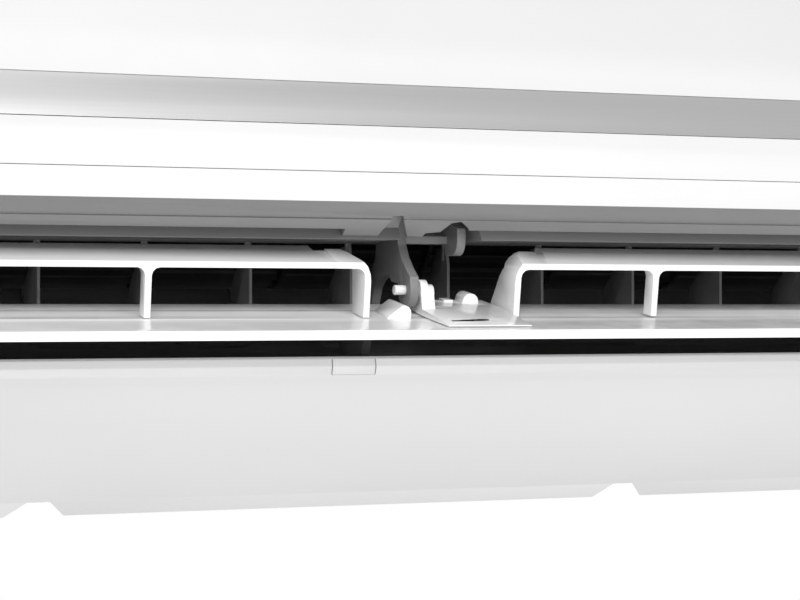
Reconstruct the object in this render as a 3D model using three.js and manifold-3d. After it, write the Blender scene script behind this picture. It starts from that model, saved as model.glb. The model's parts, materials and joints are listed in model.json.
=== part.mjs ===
// Wall-hung indoor unit of a split air conditioner, as an assembly of separate pieces.
// Units are millimetres. X runs along the unit, Y towards the wall, Z up.
// Side outlines are lists of [y, z]. The wall face of the mounting plate is the plane Y = 0.

import * as THREE from 'three';
import { mergeVertices } from 'three/addons/utils/BufferGeometryUtils.js';
import Module from 'manifold-3d';

const wasm = await Module();
wasm.setup();

// ---------------------------------------------------------------- driving dimensions

// Case
const unitWidth = 800;
const unitHeight = 292;
const unitDepth = 200;
const caseWall = 2.5;
const caseEndRound = 6;
const caseRearGap = 1;
const originHeight = 150;
const frontFace = -unitDepth;
const halfWidth = unitWidth / 2;
const chassisReach = halfWidth - 8;

// Fits
const seatGap = 0.3;
const slideGap = 0.8;

// Outlet, seen from the side: the lip of the lower cover and the edge of the bezel above it
const lipFront = -114.4;
const lipTop = 15;
const lipRound = 6;
const coverRear = -11;
const coverRearHeight = 2;
const coverWall = 2.5;
const bezelSetback = 19;
const bezelLow = 47;
const soffitHeight = 54;
const soffitFront = frontFace + 23.3;
const soffitRear = -153;
const soffitStep = -160;
const soffitTongueLeft = -41;
const soffitTongueRight = 9;
const soffitTongueRear = -148.3;
const soffitWall = 2.5;

// Front panel and its silver strip
const panelLow = 55;
const panelHigh = unitHeight - 24;
const panelWall = 2.6;
const panelFlange = 2.6;
const panelBackGap = 0.8;
const stripLow = 74;
const stripHigh = 94.4;
const stripThickness = 1.1;
const stripGroove = 0.35;
const hingeBead = 3.4;
const hingePin = 1.6;
const hingeClearance = 0.8;
const panelTopDrop = 0.8;

// Air duct. Its floor and roof both run back and up at the duct slope.
const ductSlope = 35;
const leftBay = 82;
const rightBay = 103;
const ductLeft = leftBay - halfWidth;
const ductRight = halfWidth - rightBay;
const ductWall = 2.8;
const sideWall = 3;
const ductFloor = 77.6;
const ductRoof = 128.2;

// Fan, centred on a line along X
const fanY = -82;
const fanZ = 130;
const fanRadius = 46;
const fanLeft = ductLeft + 7;
const fanRight = ductRight - 7;
const fanSegments = 5;
const fanBlades = 13;
const bladeDepth = 10;
const bladeThickness = 1.5;
const discThickness = 2;
const tongueGap = 5.5;
const fanShaftRadius = 4;

// Louver, given at its open rest angle
const louverPivotY = -129.3;
const louverPivotZ = 40;
const louverTilt = 43.8;
const pivotAboveDeck = 10;
const louverLeft = ductLeft + 2;
const louverRight = ductRight - 3;
const louverAhead = 48;
const louverBehind = 22.7;
const louverThickness = 4;
const louverBow = 1;
const deflectorHeight = 20.7;
const deflectorRearHeight = 24.4;
const deflectorThickness = 2.5;
const deflectorAhead = 12;
const deflectorBehind = 14;
const postWidth = 2.7;
const postDepth = 7.5;
const endStep = 20;
const postPitch = 95.2;
const leftDeflectorEnd = -30.1;
const rightDeflectorEnd = 35.7;
const louverPinRadius = 2.15;
const clipHeight = 3;
const clipRight = 33;
const lugHeight = 5.2;
const lugWidth = 11;
const endPinRadius = 2.4;
const bearingClearance = 0.35;

// Centre support of the louver
const strutLeft = -10.5;
const strutThickness = 4;
const strutRing = 7.5;
const hookLeft = 13.5;
const hookWidth = 4;
const pocketLeft = -15;
const pocketRight = 22;

// Guide vanes, which turn about axes square to the duct
const vanePitch = 46;
const vaneEndRoom = 12;
const vanesLeft = Math.floor((-ductLeft - vaneEndRoom) / vanePitch + 0.5);
const vanesRight = Math.floor((ductRight - vaneEndRoom) / vanePitch + 0.5);
const vaneFront = -50.2;
const vaneDepth = 30;
const vaneLow = 90;
const vaneHigh = 126.4;
const vaneThickness = 1.4;
const vanePinRadius = 1.6;
const vanePinInset = 4.5;
const vanePinLength = 5;
const linkPinRadius = 1.3;
const linkPinFromAxis = 20;
const linkHeight = 3;
const linkWidth = 5;
const linkOverhang = 3;

// Drain pan
const panWall = 2.5;
const panFront = frontFace + 29.3;
const panRim = 97;
const panFloor = 79;
const spigotRadius = 8;
const spigotBore = 5.6;
const spigotLength = 24;

// Coil
const coilLeft = ductLeft + 23;
const coilRight = ductRight - 22;
const frontSlabTop = unitHeight - 92;
const topSlabTop = unitHeight - 26;
const coilThickness = 25;
const coilPlate = 1.5;
const coilTube = 3.2;
const tubePitch = 21;
const bendStart = 8;

// Filters and the inlet grille under them
const filterThickness = 2.2;
const filterY = frontFace + 26.6;
const filterLow = 104;
const filterRear = -26;
const filterBend = 12;
const filterRib = 3;
const filterRim = 8;
const filterDivider = 3;
const filterCentre = -10;
const grilleHeight = unitHeight - 7.8;
const grilleWall = 2.5;
const grilleRib = 5;

// Wall plate
const plateWidth = unitWidth - 220;
const plateLow = 62;
const plateHigh = unitHeight - 30;
const plateHooks = [-200, 0, 200];
const plateSteel = 1.2;
const beadDepth = 5;
const plateHole = 2.8;
const hookRise = 8;

// Chassis
const bayTop = 66.5;
const backPlane = -11;
const backWall = 2.5;
const backLow = 56;
const backHigh = unitHeight - 9;
const backRibs = [-250, -150, -50, 50, 150, 250];

// Motor and electrics, in the bay to the right of the duct
const motorRadius = 38;
const motorLeft = ductRight + 11;
const motorLength = 48;
const electricsLeft = ductRight + sideWall + seatGap;
const electricsRight = chassisReach;
const electricsFront = frontFace + 28;
const electricsRear = -126;
const electricsLow = 100;
const electricsHigh = unitHeight - 20;
const electricsWall = 2;
const boardThickness = 1.6;
const boardLeft = electricsLeft + 11.7;
const boardRight = electricsRight - 8;
const boardLow = electricsLow + 12;
const boardHigh = electricsHigh - 48;

// Pipes
const gasPipeRadius = 4.8;
const liquidPipeRadius = 3.2;
const pipeY = -30;
const gasPipeHeight = 43;
const liquidPipeHeight = 29;
const pipeEnd = -150;
const pipeDrop = chassisReach - 20;

// Display board, behind the front panel
const displayLeft = halfWidth - 150;
const displayLow = 93;

// Emergency button
const buttonX = halfWidth - 55;
const buttonZ = 84;
const buttonRadius = 5;
const buttonSetback = 10;
const buttonDepth = 2.2;

// ---------------------------------------------------------------- helpers

const radians = THREE.MathUtils.degToRad;

/** Point of the duct frame: along runs back and up the duct, across is square to it. */
function inDuct(along, across) {
  const c = Math.cos(radians(ductSlope));
  const s = Math.sin(radians(ductSlope));
  return [along * c - across * s, along * s + across * c];
}

/** Point of the louver frame at rest: ahead of the pivot, and above the deck. */
function inLouver(ahead, above) {
  const c = Math.cos(radians(louverTilt));
  const s = Math.sin(radians(louverTilt));
  const lift = above - pivotAboveDeck;
  return [louverPivotY - ahead * c - lift * s, louverPivotZ - ahead * s + lift * c];
}

function arc(cx, cy, r, from, to, steps) {
  const points = [];
  for (let i = 0; i <= steps; i += 1) {
    const t = radians(from + ((to - from) * i) / steps);
    points.push([cx + r * Math.cos(t), cy + r * Math.sin(t)]);
  }
  return points;
}

function toSolid(geometry) {
  const bare = geometry.index ? geometry.toNonIndexed() : geometry.clone();
  bare.deleteAttribute('normal');
  bare.deleteAttribute('uv');
  const merged = mergeVertices(bare, 1e-4);
  return new wasm.Manifold(
    new wasm.Mesh({
      numProp: 3,
      vertProperties: new Float32Array(merged.attributes.position.array),
      triVerts: new Uint32Array(merged.index.array),
    }),
  );
}

function toGeometry(solid) {
  const mesh = solid.getMesh();
  const geometry = new THREE.BufferGeometry();
  geometry.setAttribute('position', new THREE.BufferAttribute(new Float32Array(mesh.vertProperties), 3));
  geometry.setIndex(new THREE.BufferAttribute(new Uint32Array(mesh.triVerts), 1));
  geometry.computeVertexNormals();
  return geometry;
}

function join(...solids) {
  return solids.flat().reduce((a, b) => a.add(b));
}

function cut(solid, ...tools) {
  return tools.flat().reduce((a, b) => a.subtract(b), solid);
}

function extrudeShape(points, depth, basis, origin, bevel = {}) {
  const shape = new THREE.Shape(points.map(([u, v]) => new THREE.Vector2(u, v)));
  const geometry = new THREE.ExtrudeGeometry(shape, { depth, bevelEnabled: false, ...bevel });
  geometry.applyMatrix4(new THREE.Matrix4().makeBasis(...basis));
  geometry.translate(...origin);
  return toSolid(geometry);
}

const axisX = new THREE.Vector3(1, 0, 0);
const axisY = new THREE.Vector3(0, 1, 0);
const axisZ = new THREE.Vector3(0, 0, 1);

/** A [y, z] outline pulled along X. */
function alongX(points, x0, x1) {
  return extrudeShape(points, x1 - x0, [axisY, axisZ, axisX], [x0, 0, 0]);
}

/** An [x, z] outline pulled along Y. */
function alongY(points, y0, y1) {
  return extrudeShape(points, y1 - y0, [axisX, axisZ, axisY.clone().negate()], [0, y1, 0]);
}

/** An [x, y] outline pulled along Z. */
function alongZ(points, z0, z1) {
  return extrudeShape(points, z1 - z0, [axisX, axisY, axisZ], [0, 0, z0]);
}

function box(x0, x1, y0, y1, z0, z1) {
  const geometry = new THREE.BoxGeometry(x1 - x0, y1 - y0, z1 - z0);
  geometry.translate((x0 + x1) / 2, (y0 + y1) / 2, (z0 + z1) / 2);
  return toSolid(geometry);
}

/** An [x, height above the deck] outline pulled along the louver's depth, from one place to another. */
function alongLouver(points, from, to) {
  const tilt = radians(louverTilt);
  const up = new THREE.Vector3(0, -Math.sin(tilt), Math.cos(tilt));
  const ahead = new THREE.Vector3(0, -Math.cos(tilt), -Math.sin(tilt));
  return extrudeShape(points, to - from, [axisX, up, ahead], [0, ...inLouver(from, 0)]);
}

/** A round bar from one point to another. */
function bar(from, to, radius, sides = 12) {
  const a = new THREE.Vector3(...from);
  const b = new THREE.Vector3(...to);
  const geometry = new THREE.CylinderGeometry(radius, radius, a.distanceTo(b), sides);
  const turn = new THREE.Quaternion().setFromUnitVectors(axisY, b.clone().sub(a).normalize());
  geometry.applyQuaternion(turn);
  geometry.translate(...a.add(b).multiplyScalar(0.5).toArray());
  return toSolid(geometry);
}

function barX(y, z, x0, x1, radius, sides = 12) {
  return bar([x0, y, z], [x1, y, z], radius, sides);
}

/** A bar bent along corner points, each corner rounded to the bend radius. */
function bentBar(points, radius, bend, steps, sides = 8) {
  const corners = points.map((p) => new THREE.Vector3(...p));
  const path = new THREE.CurvePath();
  let last = corners[0];
  for (let i = 1; i < corners.length - 1; i += 1) {
    const before = last.clone().sub(corners[i]).normalize().multiplyScalar(bend).add(corners[i]);
    const after = corners[i + 1].clone().sub(corners[i]).normalize().multiplyScalar(bend).add(corners[i]);
    path.add(new THREE.LineCurve3(last, before));
    path.add(new THREE.QuadraticBezierCurve3(before, corners[i], after));
    last = after;
  }
  path.add(new THREE.LineCurve3(last, corners[corners.length - 1]));
  const stops = [];
  for (const curve of path.curves) {
    const count = curve.isLineCurve3 ? 1 : steps;
    for (let i = 0; i < count; i += 1) {
      stops.push(curve.getPoint(i / count));
    }
  }
  stops.push(corners[corners.length - 1]);
  const even = new THREE.CatmullRomCurve3(stops, false, 'centripetal');
  even.getPointAt = (t) => stops[Math.round(t * (stops.length - 1))].clone();
  even.getPoint = even.getPointAt;
  even.getTangentAt = (t) => {
    const i = Math.round(t * (stops.length - 1));
    const ahead = stops[Math.min(i + 1, stops.length - 1)];
    const behind = stops[Math.max(i - 1, 0)];
    return ahead.clone().sub(behind).normalize();
  };
  even.getTangent = even.getTangentAt;
  const rim = arc(0, 0, radius, 0, 360 - 360 / sides, sides - 1);
  const ring = new THREE.Shape(rim.map((p) => new THREE.Vector2(...p)));
  return toSolid(
    new THREE.ExtrudeGeometry(ring, { steps: stops.length - 1, extrudePath: even, bevelEnabled: false }),
  );
}

/** The outline of a sheet that follows a line of points, its thickness laid to the left of the line. */
function sheet(line, thickness) {
  return [...line, ...offset(line, thickness).reverse()];
}

/** An open line of points moved to its left by a distance, with mitred corners. */
function offset(line, distance) {
  const normals = [];
  for (let i = 1; i < line.length; i += 1) {
    const dx = line[i][0] - line[i - 1][0];
    const dy = line[i][1] - line[i - 1][1];
    const length = Math.hypot(dx, dy);
    normals.push([-dy / length, dx / length]);
  }
  return line.map(([x, y], i) => {
    const a = normals[Math.max(i - 1, 0)];
    const b = normals[Math.min(i, normals.length - 1)];
    const scale = distance / (1 + a[0] * b[0] + a[1] * b[1]);
    return [x + (a[0] + b[0]) * scale, y + (a[1] + b[1]) * scale];
  });
}

const model = new THREE.Group();
model.position.set(0, 0, -originHeight);

const finishes = {
  whiteCase: { color: 0xf0f0ee, roughness: 0.42, metalness: 0 },
  whiteLouver: { color: 0xf4f4f3, roughness: 0.38, metalness: 0 },
  silver: { color: 0xb9bbbd, roughness: 0.32, metalness: 0.75 },
  greyDuct: { color: 0x55575a, roughness: 0.6, metalness: 0 },
  darkFan: { color: 0x1c1d1f, roughness: 0.55, metalness: 0 },
  fins: { color: 0x9fa5aa, roughness: 0.4, metalness: 0.8 },
  copper: { color: 0xb5673a, roughness: 0.35, metalness: 0.9 },
  brass: { color: 0xc2a254, roughness: 0.35, metalness: 0.9 },
  steel: { color: 0x9da1a5, roughness: 0.45, metalness: 0.85 },
  blackPlastic: { color: 0x202124, roughness: 0.5, metalness: 0 },
  rubber: { color: 0x151516, roughness: 0.85, metalness: 0 },
  board: { color: 0x2f6a44, roughness: 0.55, metalness: 0 },
  filter: { color: 0x3c4046, roughness: 0.7, metalness: 0 },
};

function place(name, solid, finish) {
  const mesh = new THREE.Mesh(toGeometry(solid), new THREE.MeshStandardMaterial(finishes[finish]));
  mesh.name = name;
  model.add(mesh);
}

// ---------------------------------------------------------------- shared outlines

const bezelFront = frontFace + bezelSetback;
const hingeY = frontFace + 12.4;
const hingeZ = panelHigh - 0.5;

/** The front of the unit from the bezel's edge to its top, bottom first. */
const frontLine = [
  [bezelFront, bezelLow],
  [frontFace + 14, bezelLow + 3],
  [frontFace + 10, panelLow],
  [frontFace + 5.5, (panelLow + stripLow) / 2],
  [frontFace + 3, stripLow],
  [frontFace + 1.7, (stripLow + stripHigh) / 2],
  [frontFace + 1, stripHigh],
  [frontFace, stripHigh + 26],
  [frontFace, panelHigh - 78],
  [frontFace + 2, panelHigh - 38],
  [frontFace + 4, panelHigh - 22],
  [frontFace + 7, panelHigh - 8],
  [frontFace + 9.4, panelHigh + 1],
  [frontFace + 12, unitHeight - 16],
  [frontFace + 17, unitHeight - 9],
  [frontFace + 25, unitHeight - 4],
  [frontFace + 36, unitHeight - 1],
  [frontFace + 48, unitHeight],
];

/** Where the front line lies at a height, moved back by an inset. */
function frontAt(z, inset = 0) {
  const i = Math.max(1, frontLine.findIndex((p) => p[1] >= z));
  const [y0, z0] = frontLine[i - 1];
  const [y1, z1] = frontLine[i];
  return [y0 + ((y1 - y0) * (z - z0)) / (z1 - z0) + inset, z];
}

/** The stretch of the front line between two heights, moved back by an inset. */
function frontBand(low, high, inset = 0) {
  const between = frontLine.filter((p) => p[1] > low + 0.5 && p[1] < high - 0.5);
  return [frontAt(low, inset), ...between.map(([y, z]) => [y + inset, z]), frontAt(high, inset)];
}

/** The underside of the lower cover, from its rear edge to the top of the lip. */
const lipBottom = lipTop - lipRound;
const coverLine = [
  [coverRear, coverRearHeight],
  [lipFront + 9, lipBottom - 0.5],
  [lipFront + 4.2, lipBottom + 0.6],
  [lipFront + 1.2, lipBottom + 2.9],
  [lipFront, lipTop],
];

/** The height of a part that stands on the inside of the lower cover. */
function coverTop(y) {
  const slope = (coverLine[1][1] - coverLine[0][1]) / (coverLine[1][0] - coverLine[0][0]);
  return coverRearHeight + slope * (y - coverRear) + coverWall + 2 * seatGap;
}

const caseOutline = [...coverLine, ...frontLine, [-caseRearGap, unitHeight], [-caseRearGap, 22]];

/** The front face of the frame's inner wall, which the panel closes over. */
const innerWallLine = [
  [frontFace + 15.6, panelLow + 2.2],
  [frontFace + 11, stripLow + 1],
  [frontFace + 9, stripHigh],
  [frontFace + 8.5, stripHigh + 26],
  [frontFace + 8.5, panelHigh - 78],
  [frontFace + 10.5, panelHigh - 38],
  [frontFace + 14, panelHigh - 12],
  [frontFace + 17, panelHigh - 6],
];

const leftWall = ductLeft - sideWall;
const rightWall = ductRight + sideWall;

// ---------------------------------------------------------------- duct and pan outlines

const roofFront = inDuct(-91.1, ductRoof);
const roofBend = inDuct(-64, ductRoof);
const tongueTip = inDuct(-40.4, ductRoof - 0.6);
const tongueRadius = fanRadius + tongueGap;
const tongueFace = arc(fanY, fanZ, tongueRadius, 240, 206, 6);

const scrollTopAngle = 55;
const scrollLowAngle = -72.5;
const scrollLowRadius = 79.7;
const scrollTopRadius = fanRadius + 7;

/** The scroll behind the fan: its radius shrinks from the duct floor to the top. */
function scrollPoints(steps) {
  const points = [];
  for (let i = 0; i <= steps; i += 1) {
    const share = i / steps;
    const angle = radians(scrollLowAngle + (scrollTopAngle - scrollLowAngle) * share);
    const radius = scrollTopRadius + (scrollLowRadius - scrollTopRadius) * (1 - share) ** 1.2;
    points.push([fanY + radius * Math.cos(angle), fanZ + radius * Math.sin(angle)]);
  }
  return points;
}

const floorStart = inDuct(-80.5, ductFloor);
const scroll = scrollPoints(10);
const scrollTop = scroll[scroll.length - 1];
const ductLine = [
  [floorStart[0] + 1.5, floorStart[1] - 4],
  floorStart,
  ...scroll,
  [scrollTop[0] + 2, scrollTop[1] + 13],
];

// ---------------------------------------------------------------- wall plate

function wallPlate() {
  const beads = [plateLow + 28, plateHigh - 40];
  const line = [[0, plateLow]];
  for (const z of beads) {
    line.push([0, z], [-beadDepth, z + 5], [-beadDepth, z + 15], [0, z + 20]);
  }
  line.push([0, plateHigh]);
  const half = plateWidth / 2;
  const hookTip = backPlane - backWall - seatGap;
  const hooks = plateHooks.map((x) =>
    alongX(
      sheet(
        [
          [0, plateHigh - 6],
          [0, plateHigh],
          [hookTip, plateHigh],
          [hookTip, plateHigh + hookRise],
        ],
        plateSteel,
      ),
      x - 18,
      x + 18,
    ),
  );
  const holes = [50 - half, 170 - half, half - 170, half - 50].flatMap((x) =>
    [plateLow + 14, plateHigh - 10].map((z) => bar([x, -8, z], [x, 4, z], plateHole, 6)),
  );
  const windows = [110 - half, half - 110].map(
    (x) => box(x - 60, x + 60, -8, 2, plateLow + 62, plateHigh - 60),
  );
  return cut(join(alongX(sheet(line, plateSteel), -half, half), hooks), holes, windows);
}

// ---------------------------------------------------------------- chassis

function chassisEnd(x0, x1) {
  const closing = [
    [lipFront + 1.6, lipTop + 3.4],
    [bezelFront + 9, bezelLow - 0.2],
  ];
  const outline = [
    [backPlane - 1, 62],
    [backPlane - 1, backHigh - 8],
    [-95, backHigh - 5],
    [-150, frontSlabTop + 32],
    [panFront - 1, frontSlabTop],
    [panFront - 1, soffitHeight + 6.5],
    [soffitFront, soffitHeight + 4],
    [soffitFront, soffitHeight - 0.4],
    [bezelFront + 9, soffitHeight - 0.4],
    closing[1],
    closing[0],
    [-60, 47],
    [-42, 56],
  ];
  return alongX(outline, x0, x1);
}

/** The strip behind the bezel's lip, with its slots for the top of the strut and for the hook. */
function outletBar() {
  const [left, right] = [ductLeft + seatGap, ductRight - seatGap];
  const strip = alongX(
    [
      [soffitFront, soffitHeight + 0.5],
      [soffitStep, soffitHeight + 0.9],
      [soffitStep, soffitHeight],
      [soffitRear, soffitHeight + 0.2],
      [soffitRear, soffitHeight + 1 + soffitWall],
      [soffitFront, soffitHeight + 1 + soffitWall],
    ],
    left,
    right,
  );
  const tongue = box(
    soffitTongueLeft,
    soffitTongueRight,
    soffitRear - 1,
    soffitTongueRear,
    soffitHeight + 0.2,
    soffitHeight + 1 + soffitWall,
  );
  const low = soffitHeight - 2;
  const high = soffitHeight + soffitWall + 4;
  const strutSlot = alongZ(
    [
      [strutLeft - 15, soffitTongueRear + 1],
      [strutLeft - 11.4, -161.5],
      [strutLeft - 7, -161.5],
      [strutLeft - 6.1, -158.7],
      [strutLeft - 1.2, soffitTongueRear + 1],
    ],
    low,
    high,
  );
  const hookSlot = alongZ(
    [
      [strutLeft + 5, soffitTongueRear + 1],
      [strutLeft + 6.2, -150.6],
      [strutLeft + 12.6, -151.6],
      [hookLeft - 8.4, -158],
      [hookLeft - 4.4, -159.2],
      [hookLeft + 1, -154],
      [hookLeft + 1, soffitTongueRear + 1],
    ],
    low,
    high,
  );
  return cut(join(strip, tongue), strutSlot, hookSlot);
}

function rearChassis() {
  const left = leftWall;
  const right = rightWall;
  const skin = alongX(sheet(ductLine.slice().reverse(), ductWall), left + 1, right - 1);
  const back = box(-chassisReach, chassisReach, backPlane - backWall, backPlane, backLow, backHigh);
  const ends = [chassisEnd(left, ductLeft), chassisEnd(ductRight, right)];
  const trough = alongX(
    sheet([[scrollTop[0] + 1, 174], [scrollTop[0] + 10, 171], [backPlane - 1, 171]].reverse(), ductWall),
    left + 1,
    right - 1,
  );
  const ribs = backRibs.map((x) =>
    alongX(
      [[-48, 52], [-22, 92], [-19, 130], [backPlane - 1, 150], [backPlane - 1, backLow + 2], [-40, 52]],
      x,
      x + 2,
    ),
  );
  const footLine = [
    inDuct(-25, ductFloor - 1),
    [-48, coverTop(-48)],
    [-90, coverTop(-90)],
    inDuct(-68, ductFloor - 1),
  ];
  const feet = [-250, -50, 150].map((x) => alongX(footLine, x, x + 2));
  const saddle = [motorLeft + 6, motorLeft + motorLength - 12].map((x) =>
    alongX(
      [
        ...arc(fanY, fanZ, motorRadius + seatGap, -150, -10, 10),
        [backPlane - 1, fanZ],
        [backPlane - 1, 74],
        [fanY - 30, 66],
      ],
      x,
      x + 6,
    ),
  );
  const bay = cut(
    box(right - 1, chassisReach, fanY - motorRadius - 6, backPlane - 1, bayTop - ductWall, bayTop),
    box(pipeDrop - 9, chassisReach + 1, pipeY - 14, pipeY + 14, bayTop - ductWall - 1, bayTop + 1),
  );
  const slots = plateHooks.map((x) =>
    box(x - 20, x + 20, backPlane - 9, 0, plateHigh - hookRise - 4, plateHigh + seatGap),
  );
  const leftBush = barX(louverPivotY, louverPivotZ, left - 1, ductLeft + 1, endPinRadius + 2.6, 16);
  const rightHole = barX(
    louverPivotY,
    louverPivotZ,
    ductRight - 1,
    right + 1,
    endPinRadius + bearingClearance,
    12,
  );
  const shaftHoles = [
    barX(fanY, fanZ, left - 1, ductLeft + 1, 16, 20),
    barX(fanY, fanZ, ductRight - 1, right + 1, 9, 16),
  ];
  const spigotHoles = [
    barX(-150, panFloor + 8.5, left - 1, ductLeft + 1, spigotRadius + seatGap, 14),
    barX(-150, panFloor + 8.5, ductRight - 1, right + 1, spigotRadius + seatGap, 14),
  ];
  const pipeHoles = box(ductRight - 1, right + 1, pipeY - 12, pipeY + 9, 205, 240);
  return cut(
    join(skin, back, ends, trough, ribs, feet, saddle, bay),
    slots,
    leftBush,
    rightHole,
    shaftHoles,
    spigotHoles,
    pipeHoles,
  );
}

// ---------------------------------------------------------------- case

function caseBlock(outline, reach, round) {
  const bevel = {
    bevelEnabled: true,
    bevelThickness: round,
    bevelSize: round,
    bevelOffset: -round,
    bevelSegments: 2,
  };
  return extrudeShape(
    outline,
    2 * (reach - round),
    [axisY, axisZ, axisX],
    [-(reach - round), 0, 0],
    bevel,
  );
}

const grilleFront = filterY + filterBend + 1;
const recessLeft = ductLeft + 5.5;
const recessRight = ductRight - 4.5;
const recessFront = filterY - 2.6;
const recessRear = filterRear + 2;

function inletGrille() {
  const sheetSolid = box(
    recessLeft - 2,
    recessRight + 2,
    grilleFront,
    recessRear + 2,
    grilleHeight,
    grilleHeight + grilleWall,
  );
  const columns = 8;
  const rows = 3;
  const width = (recessRight - recessLeft) / columns;
  const length = (recessRear - grilleFront) / rows;
  const slots = [];
  for (let i = 0; i < columns; i += 1) {
    for (let j = 0; j < rows; j += 1) {
      const x = recessLeft + i * width;
      const y = grilleFront + j * length;
      slots.push(
        box(x + grilleRib / 2, x + width - grilleRib / 2, y + grilleRib / 2, y + length - grilleRib / 2,
          grilleHeight - 1, grilleHeight + grilleWall + 1),
      );
    }
  }
  return cut(sheetSolid, slots);
}

function frontFrame() {
  const inner = halfWidth - caseWall;
  const outer = caseBlock(caseOutline, halfWidth, caseEndRound);
  const hollowLine = offset(
    [caseOutline[caseOutline.length - 1], ...caseOutline, caseOutline[0]],
    -caseWall,
  ).slice(1, -1);
  const hollow = alongX(hollowLine, -inner, inner);
  const shell = cut(outer, hollow);

  const panelSpace = alongX(
    [
      [frontFace - 20, panelLow],
      frontAt(panelLow),
      ...innerWallLine,
      [hingeY, hingeZ + 1],
      [frontFace - 20, hingeZ + 1],
    ],
    -inner,
    inner,
  );
  const beadSpace = barX(hingeY, hingeZ, -inner, inner, hingeBead + hingeClearance, 24);
  const rearSpace = box(-inner, inner, -8, 2, -5, unitHeight - caseWall);
  const coverSpace = alongX(
    [[lipFront - 0.6, -6], [lipFront - 0.6, lipTop + 2.8], [lipFront + 12, lipTop + 9], [coverRear + 16, 12],
      [coverRear + 16, -6]],
    -inner,
    inner,
  );
  const outlet = alongX(
    [
      [lipFront + 12, 0],
      [bezelFront, 0],
      [bezelFront, bezelLow + 0.05],
      [bezelFront + 2.4, bezelLow + 2.2],
      [bezelFront + 2.4, soffitHeight - 0.1],
      [lipFront - 6, soffitHeight - 0.1],
      [lipFront + 12, 25],
    ],
    ductLeft - 0.5,
    ductRight + 0.5,
  );
  const soffit = alongX(
    [
      [frontFace + 13, soffitHeight],
      [bezelFront + 2.4, soffitHeight],
      [soffitRear, soffitHeight + 1],
      [soffitRear, soffitHeight + 1 + soffitWall],
      [frontFace + 17.5, soffitHeight + 1 + soffitWall],
    ],
    -inner - 0.5,
    inner + 0.5,
  );
  const soffitSpace = box(
    leftWall - seatGap,
    rightWall + seatGap,
    soffitFront - seatGap,
    soffitRear + 1,
    soffitHeight - 2,
    soffitHeight + soffitWall + 2,
  );
  const innerWall = alongX(
    sheet(
      [...innerWallLine, [frontFace + 17, panelHigh + 9], [frontFace + 22, unitHeight - 3]].reverse(),
      caseWall,
    ),
    -inner - 0.5,
    inner + 0.5,
  );
  const windows = [
    box(ductLeft + 8, filterCentre - 4, frontFace, panFront + 6, panRim + 8, panelHigh - 14),
    box(filterCentre + 4, ductRight - 7, frontFace, panFront + 6, panRim + 8, panelHigh - 14),
  ];
  const displayWindow = box(
    displayLeft + 3,
    displayLeft + 37,
    frontFace,
    panFront,
    displayLow + 4,
    displayLow + 17,
  );
  const buttonHole = bar(
    [buttonX, frontFace - 5, buttonZ],
    [buttonX, -170, buttonZ],
    buttonRadius + seatGap + 0.1,
    16,
  );
  const recess = box(recessLeft, recessRight, recessFront, recessRear, grilleHeight - 2, unitHeight + 4);
  const recessWalls = cut(
    box(
      recessLeft - 2.5,
      recessRight + 2.5,
      recessFront - 2.5,
      recessRear + 2.5,
      grilleHeight,
      unitHeight - 1,
    ),
    box(recessLeft, recessRight, recessFront, recessRear, grilleHeight - 1, unitHeight + 1),
  );
  const divider = box(
    filterCentre - filterDivider / 2,
    filterCentre + filterDivider / 2,
    grilleFront,
    recessRear + 1,
    grilleHeight + 1,
    unitHeight - 1.5,
  );
  const hingePins = [-1, 1].map((side) =>
    barX(hingeY, hingeZ, side * (halfWidth - 1.2), side * (halfWidth - 11), hingePin, 12),
  );
  const cased = cut(shell, panelSpace, beadSpace, rearSpace, coverSpace, outlet);
  const walled = join(
    cut(cased, recess),
    cut(innerWall, windows, displayWindow, buttonHole, beadSpace),
    cut(soffit, soffitSpace),
  );
  const top = join(inletGrille(), recessWalls, divider);
  return join(walled, top, hingePins);
}

function bottomCover() {
  const reach = halfWidth - caseWall - seatGap;
  const line = coverLine.slice();
  line.push([lipFront + 1.4, lipTop + 2.2]);
  const skin = alongX(sheet(line, -coverWall), -reach, reach);
  const notches = notchCentres.map(([low, high, topLow, topHigh]) =>
    alongZ(
      [
        [low, coverRear + 1],
        [topLow, coverRear - notchDepth],
        [topHigh, coverRear - notchDepth],
        [high, coverRear + 1],
      ],
      -6,
      20,
    ),
  );
  const caps = capCentres.map(
    (x) => alongX(capRecess(), x - capWidth / 2 - seatGap, x + capWidth / 2 + seatGap),
  );
  return cut(skin, notches, caps);
}

const notchDepth = 11;
const notchCentres = [
  [-169.2, -141.4, -159.5, -149.6],
  [114, 140.8, 121.9, 131.7],
  [40 - halfWidth, 68 - halfWidth, 49 - halfWidth, 59 - halfWidth],
  [halfWidth - 70, halfWidth - 42, halfWidth - 61, halfWidth - 51],
];
const capWidth = 19;
const capThickness = 1.1;
const capCentres = [-34, 110 - halfWidth, halfWidth - 185];

function capLine() {
  return [coverLine[2], coverLine[3], coverLine[4]];
}

function capRecess() {
  const line = capLine();
  const inside = offset(line, -(capThickness + seatGap));
  const outside = offset(line, 2);
  return [...inside, ...outside.reverse()];
}

function screwCap(x) {
  return alongX(sheet(capLine(), -capThickness), x - capWidth / 2, x + capWidth / 2);
}

// ---------------------------------------------------------------- front panel

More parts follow.
